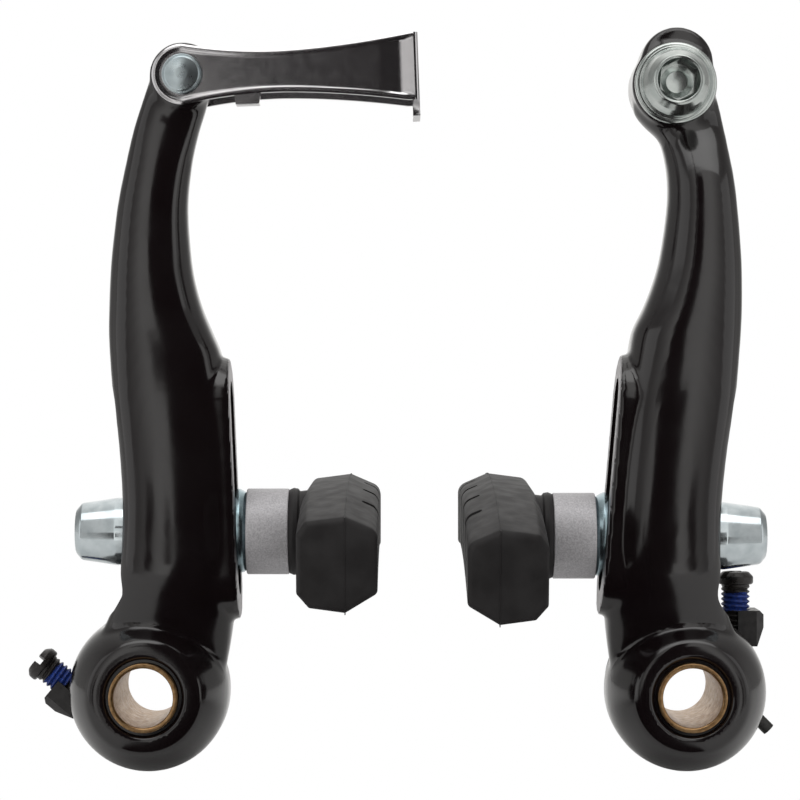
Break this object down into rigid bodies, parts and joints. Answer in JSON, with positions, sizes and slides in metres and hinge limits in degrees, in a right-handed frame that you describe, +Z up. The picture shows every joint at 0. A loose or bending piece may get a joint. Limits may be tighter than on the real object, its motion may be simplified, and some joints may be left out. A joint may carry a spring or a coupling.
{
  "type": "v-brake",
  "caption": "Pair of short linear pull bicycle brake arms with pads, noodle link, cable anchor, pivot bushes and return springs.",
  "frame": {"origin": "middle of the left pivot bore", "axes": "+X towards the right arm, +Y back into the bicycle frame along the pivot bores, +Z up"},
  "size_m": [0.1049, 0.0619, 0.1031],
  "materials": {
    "black_arm_paint": "glossy black paint over forged aluminium",
    "bush_brass": "turned, satin",
    "black_collar": "satin black",
    "plain_steel": "ground",
    "black_spring_wire": "black coated spring wire",
    "black_screw": "black oxide with a blue locking patch",
    "black_rubber": "moulded, satin",
    "zinc_plate": "bright zinc plate with a blue tint",
    "blasted_silver": "cast, fine grain",
    "bright_link_plate": "bright nickel plate"
  },
  "bodies": {
    "frame_side": {"left_pivot_bush": "bush_brass", "left_spring_collar": "black_collar", "left_anchor_pin": "plain_steel", "left_return_spring": "black_spring_wire", "right_pivot_bush": "bush_brass", "right_spring_collar": "black_collar", "right_anchor_pin": "plain_steel", "right_return_spring": "black_spring_wire"},
    "left_arm": {"left_arm": "black_arm_paint", "left_spring_peg": "plain_steel", "link_rivet": "zinc_plate"},
    "left_tension_screw": {"left_tension_screw": "black_screw"},
    "left_pad_holder": {"left_inner_dome_washer": "zinc_plate", "left_outer_dome_washer": "zinc_plate", "left_outer_cup_washer": "zinc_plate", "left_spacer_cup": "blasted_silver", "left_pad_nut": "zinc_plate"},
    "left_pad": {"left_brake_pad": "black_rubber", "left_pad_stud": "zinc_plate"},
    "right_arm": {"right_arm": "black_arm_paint", "right_spring_peg": "plain_steel"},
    "right_tension_screw": {"right_tension_screw": "black_screw"},
    "right_pad_holder": {"right_inner_dome_washer": "zinc_plate", "right_outer_dome_washer": "zinc_plate", "right_outer_cup_washer": "zinc_plate", "right_spacer_cup": "blasted_silver", "right_pad_nut": "zinc_plate"},
    "right_pad": {"right_brake_pad": "black_rubber", "right_pad_stud": "zinc_plate"},
    "noodle_link": {"noodle_link": "bright_link_plate"},
    "cable_clamp": {"cable_anchor_bolt": "zinc_plate", "cable_anchor_washer": "zinc_plate"}
  },
  "joints": [
    {"name": "left_arm_swing", "type": "hinge", "parent": "frame_side", "child": "left_arm", "pos_m": [0, 0, 0], "axis": [0, 1, 0], "range_deg": [-30, 6], "stiffness_Nm_per_rad": 1, "deforming": ["left_return_spring"]},
    {"name": "left_pad_height", "type": "slide", "parent": "left_arm", "child": "left_pad_holder", "axis": [-0.0436, 0, 0.999], "range_m": [-0.004, 0.017]},
    {"name": "left_pad_swivel", "type": "hinge", "parent": "left_pad_holder", "child": "left_pad", "pos_m": [0.01952, -0.003, 0.0222], "axis": [1, 0, 0], "range_deg": [-15, 15]},
    {"name": "left_screw_travel", "type": "slide", "parent": "frame_side", "child": "left_tension_screw", "axis": [-0.766, 0, 0.6428], "range_m": [-0.0018, 0.002], "deforming": ["left_return_spring"]},
    {"name": "right_arm_swing", "type": "hinge", "parent": "frame_side", "child": "right_arm", "pos_m": [0.0743, 0, 0], "axis": [0, -1, 0], "range_deg": [-30, 6], "stiffness_Nm_per_rad": 1, "deforming": ["right_return_spring"]},
    {"name": "right_pad_height", "type": "slide", "parent": "right_arm", "child": "right_pad_holder", "axis": [0.0872, 0, 0.9962], "range_m": [-0.004, 0.017]},
    {"name": "right_pad_swivel", "type": "hinge", "parent": "right_pad_holder", "child": "right_pad", "pos_m": [0.05567, -0.003, 0.0216], "axis": [-1, 0, 0], "range_deg": [-15, 15]},
    {"name": "right_screw_travel", "type": "slide", "parent": "frame_side", "child": "right_tension_screw", "axis": [0, 0, 1], "range_m": [-0.0018, 0.002], "deforming": ["right_return_spring"]},
    {"name": "link_swing", "type": "hinge", "parent": "left_arm", "child": "noodle_link", "pos_m": [0.0049, -0.0015, 0.08486], "axis": [0, -1, 0], "range_deg": [-35, 60]},
    {"name": "cable_clamp_travel", "type": "slide", "parent": "right_arm", "child": "cable_clamp", "axis": [0, -1, 0], "range_m": [0, 0.0025]}
  ]
}
